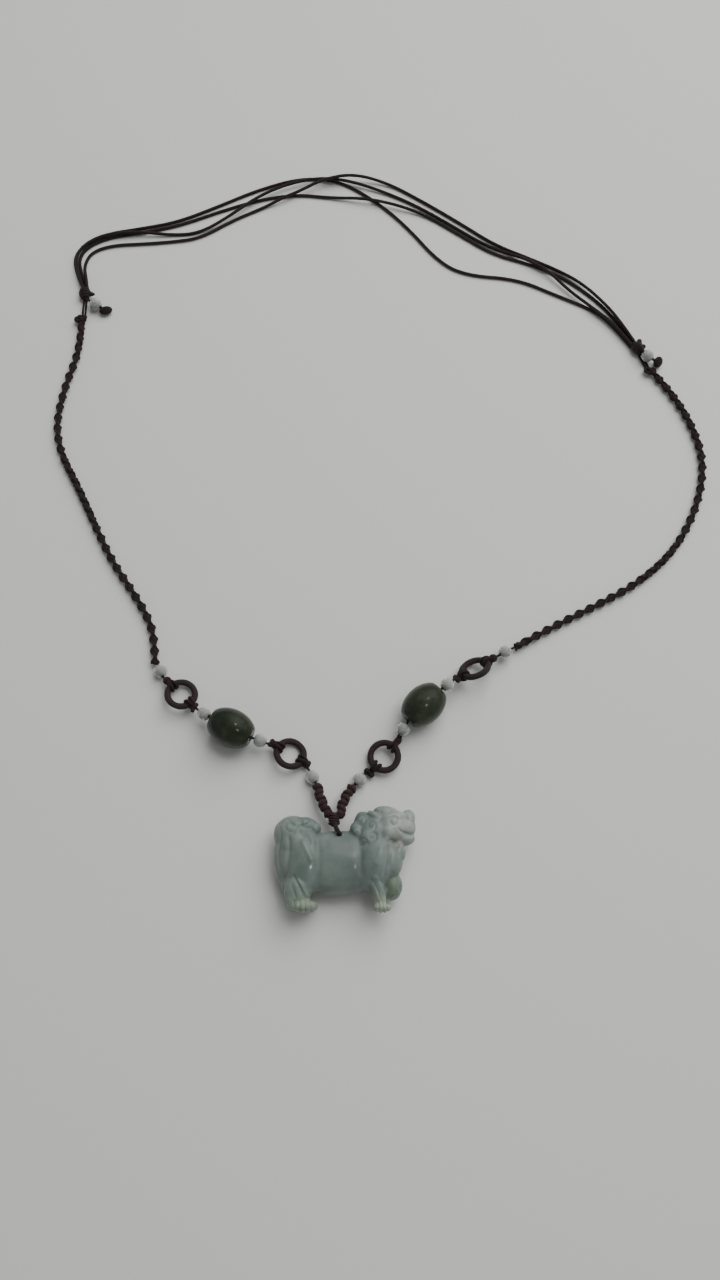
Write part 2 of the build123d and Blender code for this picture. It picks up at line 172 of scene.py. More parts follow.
# neck strands
# Four thin cords from slider to slider. Each follows the same route points as its solid,
# as the control points of one NURBS curve, in millimetres.
def unit(vector):
    """The vector at length 1."""
    vector = np.asarray(vector, float)
    return vector / np.linalg.norm(vector)


def lengths_along(line):
    """How far along a line each of its points is."""
    return np.r_[0, np.cumsum(np.linalg.norm(np.diff(line, axis=0), axis=1))]


def even_points(line, step):
    """Points at even steps along a line, near the given step."""
    run = lengths_along(line)
    keep = np.r_[True, np.diff(run) > 1e-9]
    places = np.linspace(0, run[-1], max(3, int(round(run[-1] / step)) + 1))
    return np.stack([np.interp(places, run[keep], line[keep, axis]) for axis in range(3)], 1)


def vertex_values(mesh, name):
    """The places or the normals of a mesh's vertices, one row each."""
    values = np.empty(len(mesh.vertices) * 3)
    mesh.vertices.foreach_get(name, values)
    return values.reshape(-1, 3)


def spline_points(points, step):
    """Points at even steps along the NURBS curve that has these control points."""
    data = bpy.data.curves.new("route", "CURVE")
    data.dimensions = "3D"
    data.resolution_u = 24
    spline = data.splines.new("NURBS")
    spline.points.add(len(points) - 1)
    for place, point in zip(spline.points, points):
        place.co = (*point, 1)
    spline.order_u = 3
    spline.use_endpoint_u = True
    holder = bpy.data.objects.new("route", data)
    mesh = bpy.data.meshes.new_from_object(holder)
    line = vertex_values(mesh, "co")
    bpy.data.meshes.remove(mesh)
    bpy.data.objects.remove(holder)
    bpy.data.curves.remove(data)
    return even_points(line, step)


def carried_sides(line, closed=False):
    """Two side directions that turn as little as they can along a line."""
    tangents = np.roll(line, -1, 0) - np.roll(line, 1, 0) if closed else np.gradient(line, axis=0)
    tangents /= np.linalg.norm(tangents, axis=1)[:, None]
    upright = abs(tangents[0][2]) > 0.9
    side = unit(np.cross((1, 0, 0) if upright else (0, 0, 1), tangents[0]))
    sides = [side]
    for tangent in tangents[1:]:
        side = unit(side - tangent * (side @ tangent))
        sides.append(side)
    sides = np.array(sides)
    return sides, np.cross(tangents, sides)


def ring_walls(rings, along, around):
    """The quads between neighbouring closed rings of vertices, and the UVs of their corners,
    from one value along for each ring and one around for each step, with one more of each
    where they close."""
    columns = len(around) - 1
    row, column = np.meshgrid(np.arange(len(along) - 1), np.arange(columns), indexing="ij")
    here, after, beside = row * columns, (row + 1) % rings * columns, (column + 1) % columns
    quads = np.stack([here + column, here + beside, after + beside, after + column], -1)
    u = along[np.stack([row, row, row + 1, row + 1], -1)]
    v = around[np.stack([column, column + 1, column + 1, column], -1)]
    return quads.reshape(-1, 4), np.stack([u, v], -1).reshape(-1, 4, 2)


def tube(line, radius, sides=10, closed=False):
    """Vertices, faces and UVs of a cord along a line: at each point a circle across the line.
    radius is one value or one for each point, and open ends are rounded."""
    line = np.asarray(line, float)
    radius = np.broadcast_to(np.asarray(radius, float), len(line))
    if not closed:
        caps = np.array(((0.35, 0.92), (0.60, 0.62), (0.68, 0.25)))
        far, thin = caps[:, :1], caps[:, 1]
        before = line[0] + unit(line[0] - line[1]) * radius[0] * far[::-1]
        beyond = line[-1] + unit(line[-1] - line[-2]) * radius[-1] * far
        line = np.vstack([before, line, beyond])
        radius = np.r_[radius[0] * thin[::-1], radius, radius[-1] * thin]
    across, above = carried_sides(line, closed)
    turn = np.arange(sides)[:, None] * 2 * pi / sides
    ring = np.cos(turn) * across[:, None] + np.sin(turn) * above[:, None]
    run = lengths_along(np.vstack([line, line[:1]]) if closed else line)
    quads, uv = ring_walls(len(line), run, np.arange(sides + 1) / sides)
    faces = np.roll(quads, -1, 1).tolist()
    uvs = np.roll(uv, -1, 1).reshape(-1, 2).tolist()
    if not closed:
        end = np.arange(sides)
        faces += [end.tolist(), (end[::-1] + (len(line) - 1) * sides).tolist()]
        uvs += [[0.0, 0.0]] * (2 * sides)
    return (line[:, None] + radius[:, None, None] * ring).reshape(-1, 3), faces, uvs


def joined(shapes):
    """The vertices, faces and UVs of several shapes as one."""
    vertices, faces, uvs = [], [], []
    total = 0
    for own_vertices, own_faces, own_uvs in shapes:
        vertices.append(own_vertices)
        faces += [[index + total for index in face] for face in own_faces]
        uvs += own_uvs
        total += len(own_vertices)
    return np.vstack(vertices), faces, uvs


def mesh_object(name, vertices, faces):
    """An object with one plain mesh."""
    mesh = bpy.data.meshes.new(name)
    mesh.from_pydata(vertices.tolist(), [], faces)
    return placed(name, mesh)


def finished(made, material, slot, *nodes):
    """Smooth a piece and give it its material. It stands for the named CAD nodes."""
    mesh = made.data
    mesh.polygons.foreach_set("use_smooth", np.ones(len(mesh.polygons), dtype=bool))
    mesh.materials.append(material)
    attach(made, "root")
    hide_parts(*nodes)
    return made


def shaped_piece(name, shapes, material, slot, *nodes):
    """A finished piece from shapes in millimetres."""
    vertices, faces, uvs = joined(shapes)
    made = mesh_object(name, vertices * 0.001, faces)
    layer = made.data.uv_layers.new(name="UVMap")
    layer.data.foreach_set("uv", np.array(uvs, dtype=np.float32).ravel())
    return finished(made, material, slot, *nodes)


def cord_piece(name, shapes, replaced, material=dark_cord):
    """A finished piece of cord, for one CAD node."""
    return shaped_piece(name, shapes, material, "cord", replaced)


def lifted(points, level):
    """Route points, those without a height of their own at the given one."""
    return [(x, y, *(height or (level,))) for x, y, *height in points]


strand_routes = {
    1: [
        (-113.35, 69.45), (-117.7, 78.4), (-117.5, 87.2), (-107.6, 94.4), (-93, 97), (-79, 100),
        (-63.5, 107.2), (-48, 115), (-31, 120.6), (-16.5, 119.4), (-3, 110.6), (9.5, 98.8),
        (22.5, 81.6), (33, 75.8), (52, 74.2), (66, 67.4), (81.5, 60), (88.3, 52.6), (93.6, 44.7),
    ],
    2: [
        (-111.75, 69.45), (-115.8, 78), (-115.8, 86.4), (-107.2, 92.6), (-92, 95.2), (-77.5, 98.6),
        (-62.5, 105), (-47, 110.4), (-33, 112.8), (-19, 111.2), (-7, 110, 2.15), (5, 107.4, 2.15),
        (17, 103.6), (30, 94.6), (43, 85.4), (57, 80.9), (69.5, 75.2), (82, 64.8), (89.5, 55),
        (94.8, 45.7),
    ],
    3: [
        (-113.35, 69.45, 2.15), (-116.8, 78.2, 2), (-116.7, 86.8, 2), (-107.4, 93.4, 2.15),
        (-94, 94.6, 2.2), (-81.5, 94), (-70.5, 94.8), (-59, 101.4, 2.15), (-48, 110.8, 2.15),
        (-36, 116.8, 2.15), (-24, 119.6, 2.15), (-12, 118.2, 2.15), (2, 113.8), (14, 107.6),
        (27, 98.9), (40, 89.6), (50, 85.4), (56, 82.1, 2.15), (64.2, 76.8, 2.15), (71.2, 69, 1.4),
        (80.5, 60.1, 2.15), (87.8, 53.4, 2.15), (93.6, 44.7, 2.15),
    ],
    4: [
        (-111.75, 69.4, 2.15), (-112.6, 74, 2), (-114, 80), (-111.8, 86.2), (-103.8, 89.4),
        (-92, 90), (-80.5, 91), (-70, 92.6), (-57.5, 100.8), (-45, 107), (-38.5, 110, 2.15),
        (-31, 113.6, 2.15), (-23, 117.4, 3.65), (-11, 120.3, 3.65), (2.5, 118.4), (15, 110.6),
        (30, 100.2), (44, 89.6), (57, 83.6), (69, 77.6), (77.5, 71, 1.6), (85.5, 61.4, 2.2),
        (90.2, 54.4, 2.15), (94.8, 45.7, 2.15),
    ],
}
strand_radius, strand_level, strand_step = 0.6, 0.65, 0.8
for number, points in strand_routes.items():
    line = spline_points(lifted(points, strand_level), strand_step)
    strand = cord_piece(f"neck_cord_{number}", [tube(line, strand_radius, 12)], f"neck_strand_{number}")
    length = float(lengths_along(line)[-1])


# braids
# A four-strand round braid on each side: two strands wind one way and two the other, each
# passing over and under in turn. Most of it shows the flat of each crossing, as a row of
# lumps, and the smooth stretches are turned by an eighth.
braid_pitch, braid_strand, braid_level, braid_step = 8.6, 0.52, 1.65, 0.42
smooth_blend = 0.08


def node_points(name):
    """A CAD node's vertices, in millimetres."""
    return vertex_values(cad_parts[name].data, "co") * 1000


def middle(name):
    """The middle of a CAD node's box, in millimetres."""
    return np.sum(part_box(name), axis=0) * 500


def braid(line, smooth_stretches):
    """Four strands at the angles +t, +t + pi, -t and -t + pi round the line, where t runs
    through 2 pi in one pitch, and each at the reach 0.75 + 0.11 cos 2t plus or minus
    0.27 cos 2t. In the smooth stretches the whole is turned by pi / 4."""
    across, above = carried_sides(line)
    run = lengths_along(line)
    t = run * 2 * pi / braid_pitch
    share = run / run[-1]
    smooth = sum(
        np.clip((share - low) / smooth_blend, 0, 1) * np.clip((high - share) / smooth_blend, 0, 1)
        for low, high in smooth_stretches
    )
    smooth = smooth * smooth * (3 - 2 * smooth)
    turn = pi / 4 * smooth + 0.1 * np.sin(run / 9.0)
    swell = np.cos(2 * t) * (1 - smooth)
    shapes = [tube(line, 0.78 + 0.20 * swell)]
    for way in (1, -1):
        reach = 0.75 + 0.11 * swell + 0.08 * smooth + way * 0.27 * np.cos(2 * t)
        for half in (0, pi):
            angle = way * t + half + turn
            side = np.cos(angle)[:, None] * across + np.sin(angle)[:, None] * above
            shapes.append(tube(line + reach[:, None] * side, braid_strand * (0.9 + 0.1 * swell)))
    return shapes


braid_routes = {
    "left": [
        (-77.9, -78.9, 2.2), (-78.6, -71), (-80.8, -63.2), (-87.3, -52.8), (-95, -41.8),
        (-101.8, -28.5), (-109.5, -12.5), (-116.2, -0.5), (-119.2, 12), (-117, 28), (-112.7, 42.5),
        (-112.9, 54.4),
    ],
    "right": [
        (45.2, -73.4, 2.4), (59, -65.6), (73.5, -58.4), (88.7, -50.2), (102.6, -38.2), (112.6, -21),
        (116.7, -3), (113, 13), (106, 26.4), (101.2, 32.6),
    ],
}
braid_routes = {side: lifted(points, braid_level) for side, points in braid_routes.items()}
smooth_shares = {"left": ((0.35, 0.66), (0.86, 1.1)), "right": ((-0.1, 0.08), (0.30, 0.54))}
for side, smooth_stretches in smooth_shares.items():
    line = spline_points(braid_routes[side], braid_step)
    cord_piece(f"{side}_round_braid", braid(line, smooth_stretches), f"{side}_braid")


# cord-wound rings
# A hard ring wound closely with fine cord, so its wire is faintly ribbed all the way round.
# The winding is one even layer, drawn tight and waxed.
ring_circle, ring_wire, ring_turns = 4.6, 1.1, 46


def main_axes(name):
    """A CAD solid's middle, its own directions, from the most spread to the least, and its
    lengths along them."""
    places = node_points(name)
    centre = places.mean(0)
    _, _, axes = np.linalg.svd(places - centre, full_matrices=False)
    reach = (places - centre) @ axes.T
    centre = centre + ((reach.max(0) + reach.min(0)) / 2) @ axes
    return centre, axes, reach.max(0) - reach.min(0)


def wound_ring(centre, x_dir, normal):
    """A torus whose wire swells by abs(cos) at each turn of its close winding."""
    y_dir = np.cross(normal, x_dir)
    steps, sides = ring_turns * 6, 18
    around, section = np.arange(steps + 1), np.arange(sides + 1)
    big, small = np.meshgrid(around[:-1] * 2 * pi / steps, section[:-1] * 2 * pi / sides, indexing="ij")
    rib = np.abs(np.cos(ring_turns * big / 2 + small / 2))
    thick = ring_wire - 0.08 + 0.08 * rib ** 0.7 + 0.03 * np.sin(5 * big + 1.3)
    out = np.cos(big)[..., None] * x_dir + np.sin(big)[..., None] * y_dir
    out = out * (ring_circle + thick * np.cos(small))[..., None]
    places = centre + out + normal * (thick * np.sin(small))[..., None]
    quads, uv = ring_walls(steps, around * (ring_turns / steps), section * (2 * pi * ring_wire / sides))
    outward = [0, 3, 2, 1]
    uvs = uv[:, outward, ::-1].reshape(-1, 2).tolist()
    return places.reshape(-1, 3), quads[:, outward].tolist(), uvs


ring_cord = cord_material(
    "ring_cord", (0.0165, 0.0095, 0.0100), (0.0140, 0.0105, 0.0100), (0.032, 0.021, 0.021),
    threads=2, pitch=0.8, depth=0.25,
)
rings = {}
for side in ("left", "right"):
    for which in ("inner", "outer"):
        name = f"{side}_{which}_ring"
        centre, axes, _ = main_axes(name)
        normal = axes[2] * np.sign(axes[2][2])
        along = middle(f"{name}_upper_hitch") - middle(f"{name}_lower_hitch")
        along = unit(along - normal * (along @ normal))
        rings[name] = (centre, along, normal)
        cord_piece(f"{side}_{which}_wound_ring", [wound_ring(centre, along, normal)], name, ring_cord)


# ring hitches
# At each end of a ring the string is hitched round the wire with two turns, drawn into a
# stop knot outside the ring, and cut off short. Each knot has its own stubs.
def square_to(axis, start):
    """The unit axis, the direction square to it that is nearest to start, and the third."""
    axis, start = unit(axis), np.asarray(start, float)
    first = unit(start - axis * (start @ axis))
    return axis, first, np.cross(axis, first)


def loop_line(centre, axis, start, radius, tilt, steps=28):
    """A closed line round an axis: at angle t it is radius * (cos t, sin t) across the axis
    and radius * tilt * cos t along it. start is the side where t is 0."""
    axis, first, second = square_to(axis, start)
    turn = np.arange(steps)[:, None] * 2 * pi / steps
    return centre + radius * (np.cos(turn) * (first + axis * tilt) + np.sin(turn) * second)


def ball(centre, axes, sizes, rows=12, columns=18):
    """An ellipsoid: at latitude a and longitude b it is the centre plus the half-sizes times
    (cos a cos b, cos a sin b, sin a) along its three directions."""
    a = np.linspace(-pi / 2, pi / 2, rows + 1)[1:-1, None]
    b = np.arange(columns)[None] * 2 * pi / columns
    places = np.stack([np.cos(a) * np.cos(b), np.cos(a) * np.sin(b), np.sin(a) + 0 * b], -1).reshape(-1, 3)
    places = np.vstack([places, [(0, 0, -1), (0, 0, 1)]]) * np.array(sizes) @ np.array(axes) + centre
    quads, _ = ring_walls(rows - 1, np.arange(rows - 1), np.arange(columns + 1))
    k = np.arange(columns)
    after, top, pole = (k + 1) % columns, (rows - 2) * columns, (rows - 1) * columns
    low = np.stack([0 * k + pole, after, k], 1)
    high = np.stack([0 * k + pole + 1, top + k, top + after], 1)
    faces = quads.tolist() + low.tolist() + high.tolist()
    heights = ((places - centre) @ axes[2]).tolist()
    return places, faces, [[heights[index], 0.5] for face in faces for index in face]


def wound_oval(centre, axis, start, length, radius, turns, cord, swell=0.75):
    """A close winding whose turns follow an oval: the reach at share t of its length is
    radius * sqrt(1 - swell * (2 t - 1)^2), less the cord."""
    axis, first, second = square_to(axis, start)
    t = np.linspace(0, 1, int(turns * 20))[:, None]
    reach = radius * np.sqrt(1 - swell * (2 * t - 1) ** 2) - cord
    turn = 2 * pi * turns * t
    out = reach * (np.cos(turn) * first + np.sin(turn) * second)
    return centre + axis * (length - 2 * cord) * (t - 0.5) + out


def stub(root, tip, thick_root, thick_tip, sides=10):
    """A short tapered end of cord."""
    line = even_points(np.array([root, tip]), 0.3)
    return tube(line, np.linspace(thick_root, thick_tip, len(line)), sides)


up = np.array((0.0, 0.0, 1.0))
hitches = {
    # how far out the knot sits, its half-length and half-width, and its stubs: angle off the
    # outward line towards the side, length, and half-thickness at the root and the tip
    "left_inner_ring_lower": (6.4, 1.1, 1.35, ((62, 0.7, 0.95, 0.85), (-58, 0.5, 0.9, 0.8))),
    "left_inner_ring_upper": (6.6, 1.1, 1.35, ((40, 0.9, 0.95, 0.85), (-50, 0.8, 0.9, 0.85))),
    "left_outer_ring_lower": (6.2, 1.0, 1.3, ((78, 0.8, 0.95, 0.7), (-55, 1.5, 0.95, 0.7))),
    "left_outer_ring_upper": (7.0, 1.2, 1.45, ((80, 0.5, 0.9, 0.8),)),
    "right_inner_ring_lower": (7.3, 0.8, 1.2, ((85, 0.9, 1.0, 0.95), (-85, 0.9, 1.0, 0.95))),
    "right_inner_ring_upper": (6.8, 1.4, 1.2, ((4, 1.5, 1.05, 0.4),)),
    "right_outer_ring_lower": (7.0, 0.9, 1.2, ((72, 0.8, 1.0, 0.95), (-80, 0.9, 1.0, 0.95))),
    "right_outer_ring_upper": (7.3, 1.25, 1.5, ((60, 0.5, 0.9, 0.8),)),
}
for name, (centre, along, normal) in rings.items():
    for end, way in (("lower", -1), ("upper", 1)):
        out, half_length, half_width, stubs = hitches[f"{name}_{end}"]
        outward = along * way
        aside = np.cross(normal, outward)
        bar = centre + outward * ring_circle
        shapes = [
            tube(loop_line(bar + aside * offset, aside, outward, 1.6, lean), 0.6, closed=True)
            for offset, lean in ((-0.62, 0.2), (0.62, -0.2))
        ]
        far = node_points(f"{name}_{end}_hitch")
        reach = unit(far[np.argmax((far - centre) @ outward)] - bar)
        knot = bar + reach * (out - ring_circle)
        across = unit(np.cross(reach, normal))
        knot_axes = np.array([across, np.cross(reach, across), reach])
        shapes += [
            tube(wound_oval(knot, reach, aside, 2 * half_length + 0.5, half_width, 2.5, 0.45), 0.45, 9),
            ball(knot, knot_axes, (half_width + 0.05, half_width - 0.1, half_length + 0.25)),
            tube(np.linspace(bar + reach * 1.1, knot, 4), 0.75),
        ]
        for lean, length, root, tip in stubs:
            direction = reach * cos(radians(lean)) + aside * sin(radians(lean))
            shapes.append(stub(knot + direction * 0.3, knot + direction * (0.4 + length), root, tip))
        cord_piece(f"{name}_{end}_knot", shapes, f"{name}_{end}_hitch")


# small pale beads
# Eight on the strings and one on each free tail: milky, half clear stone, turned round, with
# a drilled hole whose edges are rounded.
pale_bead, tree, shader = new_material("milky_bead", {
    "Roughness": 0.3, "Subsurface Weight": 1.0, "Subsurface Radius": (1.0, 1.0, 0.95),
    "Subsurface Scale": 0.003, "Transmission Weight": 0.3, "IOR": 1.25,
})
cloud = texture(tree, "ShaderNodeTexNoise", in_Scale=420.0, in_Detail=4.0)
tint = node(
    tree, "ShaderNodeMix", data_type="RGBA", in_A=(0.285, 0.295, 0.275, 1), in_B=(0.345, 0.352, 0.335, 1)
)
link(tree, (cloud.outputs[0], tint.inputs["Factor"]), (tint.outputs["Result"], shader.inputs["Base Color"]))


def turned(centre, axis, profile, sides=32):
    """A closed surface of revolution: each point (radius, along) of a closed profile goes once
    round the axis."""
    axis = unit(axis)
    first = unit(np.cross(axis, (0.31, 0.17, 1.0)))
    second = np.cross(axis, first)
    profile = np.array(profile, float)
    turn = np.arange(sides)[:, None] * 2 * pi / sides
    out = np.cos(turn) * first + np.sin(turn) * second
    places = centre + profile[:, None, :1] * out + profile[:, None, 1:] * axis
    run = lengths_along(np.vstack([profile, profile[:1]]))
    quads, uv = ring_walls(len(profile), run, np.arange(sides + 1) / sides)
    return places.reshape(-1, 3), quads.tolist(), uv.reshape(-1, 2).tolist()


bead_radius, bead_hole, bead_edge = 2.3, 0.8, 0.14
# Round outside from one rounded hole edge to the other, then back through the hole.
low = np.arcsin((bead_hole + bead_edge) / bead_radius)
angles = np.linspace(low, pi - low, 22)
half = bead_radius * cos(low) - bead_edge * 0.55
bead_profile = np.vstack([
    bead_radius * np.stack([np.sin(angles), np.cos(angles)], 1),
    [(bead_hole, at) for at in (-half + 0.02, -half * 0.4, half * 0.4, half - 0.02)],
])
chains = {
    side: [f"{side}_{piece}" for piece in (
        "knotted_arm", "white_bead_1", "inner_ring_lower_hitch", "inner_ring_upper_hitch", "white_bead_2",
        "barrel_bead", "white_bead_3", "outer_ring_lower_hitch", "outer_ring_upper_hitch", "white_bead_4",
    )]
    for side in ("left", "right")
}
bead_seats = {}
for side, chain in chains.items():
    for here, name in enumerate(chain):
        if "white_bead" in name:
            before = middle(chain[here - 1])
            after = middle(chain[here + 1]) if here + 1 < len(chain) else np.array(braid_routes[side][1])
            bead_seats[name] = (middle(name), unit(after - before))
for name, shift, way in (
    ("left_end_bead", (0, 0, 0), (0.864, -0.48, -0.18)),
    ("right_end_bead", (-0.8, -0.2, 0), (0.80, -0.53, -0.30)),
):
    bead_seats[name] = (middle(name) + shift, unit(way))
for name, (centre, axis) in bead_seats.items():
    shaped_piece(f"pale_{name}", [turned(centre, axis, bead_profile)], pale_bead, "white_bead", name)


# barrel beads
# Dark green stone barrels with flat drilled ends, turned and polished. The stone is mottled,
# with fine dark specks.
green_stone, tree, shader = new_material("dark_green_stone", {
    "Roughness": 0.17, "Specular IOR Level": 0.36, "Subsurface Weight": 0.2, "Subsurface Scale": 0.0016,
})
warp = texture(tree, "ShaderNodeTexNoise", in_Scale=70.0, in_Detail=3.0, in_Distortion=0.8)
mottle = texture(tree, "ShaderNodeTexNoise", in_Scale=240.0, in_Detail=6.0, in_Roughness=0.62)
speck = texture(tree, "ShaderNodeTexVoronoi", in_Scale=900.0)
wave = texture(tree, "ShaderNodeTexNoise", in_Scale=300.0, in_Detail=1.0)
ramp = node(tree, "ShaderNodeValToRGB")
stops = ramp.color_ramp.elements
stops[0].position, stops[0].color = 0.40, (0.0065, 0.0105, 0.0048, 1)
stops[1].position, stops[1].color = 0.64, (0.0280, 0.0350, 0.0205, 1)
stops.new(0.52).color = (0.0140, 0.0190, 0.0098, 1)
blend = maths(tree, "MULTIPLY_ADD", warp.outputs[0], 0.62, maths(tree, "MULTIPLY", mottle.outputs[0], 0.4))
specks = maths(tree, "MULTIPLY", maths(tree, "LESS_THAN", speck.outputs["Distance"], 0.12), 0.05)
blend = maths(tree, "SUBTRACT", blend, specks)
link(tree, (blend, ramp.inputs[0]), (ramp.outputs[0], shader.inputs["Base Color"]))
bump_skin(tree, shader, wave.outputs[0], 0.10, 0.0002)

barrel_length, barrel_wide, barrel_end, barrel_hole, barrel_edge = 14.9, 12.8, 6.4, 1.0, 0.35
# One arc of an ellipse from flat end to flat end, with rounded corners, then back through
# the drilled hole.
half, flat = barrel_length / 2, barrel_end / 2
reach = half / sqrt(1 - (barrel_end / barrel_wide) ** 2)
arc = [
    (barrel_wide / 2 * sqrt(1 - (t / reach) ** 2), t)
    for t in np.linspace(-half + barrel_edge * 0.6, half - barrel_edge * 0.6, 30)
]
corner = [
    (flat - barrel_edge * 1.2, -half), (flat - barrel_edge * 0.35, -half + 0.07),
    (flat + 0.02, -half + barrel_edge * 0.32),
]
rim = [(barrel_hole + 0.28, -half), (barrel_hole + 0.07, -half + 0.09), (barrel_hole, -half + 0.3)]
hole = [(barrel_hole, half * 0.4), (barrel_hole, -half * 0.4)]
corner_high = [(radius, -t) for radius, t in corner[::-1]]
rim_high = [(radius, -t) for radius, t in rim]
barrel_profile = (corner + arc + corner_high + rim_high + hole + rim[::-1])[::-1]
for side in ("left", "right"):
    name = f"{side}_barrel_bead"
    centre, axes, _ = main_axes(name)
    barrel = turned(centre, axes[0], barrel_profile, 64)
    shaped_piece(f"{side}_stone_barrel", [barrel], green_stone, "green_bead", name)


# threads
# The thin dark cord that the beads are threaded on, seen between the beads and knots. Each
# run goes from knot to knot through the drilled holes.
barrel_stop = 7.5
for side, chain in chains.items():
    arm_centre, arm_axes, arm_spans = main_axes(chain[0])
    arm_axis = arm_axes[0] * np.sign(arm_axes[0] @ (middle(chain[1]) - arm_centre))
    runs = (
        [arm_centre + arm_axis * arm_spans[0] * 0.45, *chain[1:3]], chain[3:8],
        [*chain[8:], np.array(braid_routes[side][0])],
    )
    for number, run in enumerate(runs, 1):
        line = []
        for stop in run:
            if not isinstance(stop, str):
                line.append(stop)
            elif stop in bead_seats:
                centre, axis = bead_seats[stop]
                line += [centre - axis * bead_radius, centre + axis * bead_radius]
            elif stop.endswith("barrel_bead"):
                centre, axes, _ = main_axes(stop)
                axis = axes[0] * np.sign(axes[0] @ (middle(chain[6]) - middle(chain[4])))
                line += [centre - axis * barrel_stop, centre + axis * barrel_stop]
            else:
                line.append(middle(stop))
        string = tube(even_points(np.array(line), 0.5), 0.4, 8)
        cord_piece(f"{side}_string_{number}", [string], f"{side}_thread_{number}")


# knotted arms, wrap and loop
# Two arms of snake knots meet in a whipping of four turns, and a loop of cord runs on from
# it through the jade.
arm_cord = cord_material(
    "arm_cord", (0.0235, 0.0088, 0.0105), (0.0165, 0.0088, 0.0092), (0.048, 0.024, 0.026)
)
arm_lobes = 6
for side, bow, cut in (("left", 0.6, 0.0), ("right", 1.0, 0.4)):
    name = f"{side}_knotted_arm"
    centre, axes, spans = main_axes(name)
    axis = axes[0] * np.sign(axes[0][1])
    level = unit(np.cross(up, axis))
    length = spans[0] - cut
    share = np.linspace(-1, 1, 25)[:, None]
    spine = centre + (share * (length / 2 - 0.4) - cut / 2) * axis + bow * (0.6 - share ** 2) * level
    shapes = [tube(spine, 1.2, 12)]
    for lobe in range(arm_lobes):
        along = -1 + (2 * lobe + 1) / arm_lobes
        place = centre + axis * (along * length / 2 - cut / 2) + level * bow * (0.6 - along ** 2)
        size = 1.75 if lobe else 1.6
        lean = 0.16 if lobe % 2 else -0.12
        for inset, tilt, thick, sides in ((0.85, lean, 0.82, 12), (0.40, 3.4 * lean, 0.42, 9)):
            shapes.append(tube(loop_line(place, axis, level, size - inset, tilt), thick, sides, closed=True))
    cord_piece(f"{side}_snake_knots", shapes, name, arm_cord)

wrap_low, wrap_high = np.array(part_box("centre_wrap")) * 1000
wrap_centre = (wrap_low + wrap_high) / 2
wrap_reach = np.array((0, wrap_high[1] - wrap_low[1], 0))
shapes = []
for turn in range(4):
    place = wrap_centre + np.array((0, (turn - 1.5) * 0.84, 0))
    turn_line = loop_line(place, (0.06, 1, 0), (1, 0, 0), 1.43, 0.06 * (-1) ** turn)
    shapes.append(tube(turn_line, 0.48, closed=True))
wrap_core = np.linspace(wrap_centre - wrap_reach * 0.4, wrap_centre + wrap_reach * 0.42, 5)
shapes.append(tube(wrap_core, 1.3, 14))
cord_piece("whipped_wrap", shapes, "centre_wrap", arm_cord)

bore = (-14.6, -137.8)
mid_z = 6.8
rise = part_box("hanging_loop")[1][2] * 1000 - 0.62 - mid_z
upper_half = [
    (wrap_centre[0], wrap_low[1] + 0.9, wrap_centre[2] + 0.75),
    (wrap_centre[0] + 1.0, wrap_low[1] - 1.8, mid_z + rise - 0.45),
    (*bore, mid_z + rise + 0.1),
]
lower_half = [
    (*bore, mid_z - rise - 0.1),
    (wrap_centre[0] + 1.0, wrap_low[1] - 1.8, mid_z - rise + 0.45),
    (wrap_centre[0], wrap_low[1] + 0.9, wrap_centre[2] - 0.75),
]
cord_piece("bail_loop", [tube(spline_points(upper_half + lower_half, 0.3), 0.68, 12)], "hanging_loop")


# adjusters
# On each side a wound slider grips the neck cords, two thin cords run on to the knot at the
# top of the braid, and a free tail ends in a pale bead and a knot.
def trefoil(centre, axis, start, spread, rise, stretch, steps=72):
    """The closed line of an overhand knot drawn tight, lying across the axis: at t its reach is
    spread + rise * cos 3t at the angle 2t, and its height stretch * rise * sin 3t."""
    axis, first, second = square_to(axis, start)
    t = np.arange(steps)[:, None] * 2 * pi / steps
    reach = spread + rise * np.cos(3 * t)
    out = reach * (np.cos(2 * t) * first + np.sin(2 * t) * second)
    return centre + out + axis * stretch * rise * np.sin(3 * t)


adjusters = {
    # Ears are the slider's cut ends: direction, where they start and stop, and how thick
    # they end. Lobes are the top knot's loops: offset, radius and thickness.
    "left": {
        "slider": (-112.5, 66.9, 2.15), "run": (0.06, -1, 0), "ears": (((0.98, -0.12, 0), 0.6, 3.5, 0.5),),
        "cords": ((-112.4, 65.2, 0.9), (-112.5, 56.7, 0.9)),
        "tail": ((-111.4, 63.8, 3.1), (-104.2, 59.8, 1.6)),
        "end_way": (0.98, 0.19, 0), "end_sizes": (5.0, 3.4), "lean": (0, 0, 0.25),
        "lobes": (((-1.15, -0.6, 0.1), 0.8, 0.76), ((1.15, 0.45, 0), 0.45, 0.6)),
    },
    "right": {
        "slider": (95.8, 43.25, 2.1), "run": (0.59, -0.81, 0),
        "ears": (((0.25, 0.96, 0), 0.6, 3.2, 0.9), ((0.95, 0.3, 0), 0.4, 2.5, 0.8)),
        "cords": ((96.4, 41.9, 0.8), (99.6, 34.6, 0.7)), "tail": ((96.6, 41.8, 4.1), (103.0, 37.6, 1.7)),
        "end_way": (0.4, 0.91, 0), "end_sizes": (4.7, 3.3), "lean": (-1.6, -0.4, 0.25),
        "lobes": (((-1.25, 0, 0.1), 1.0, 0.55), ((1, -0.5, 0), 0.5, 0.6)),
    },
}
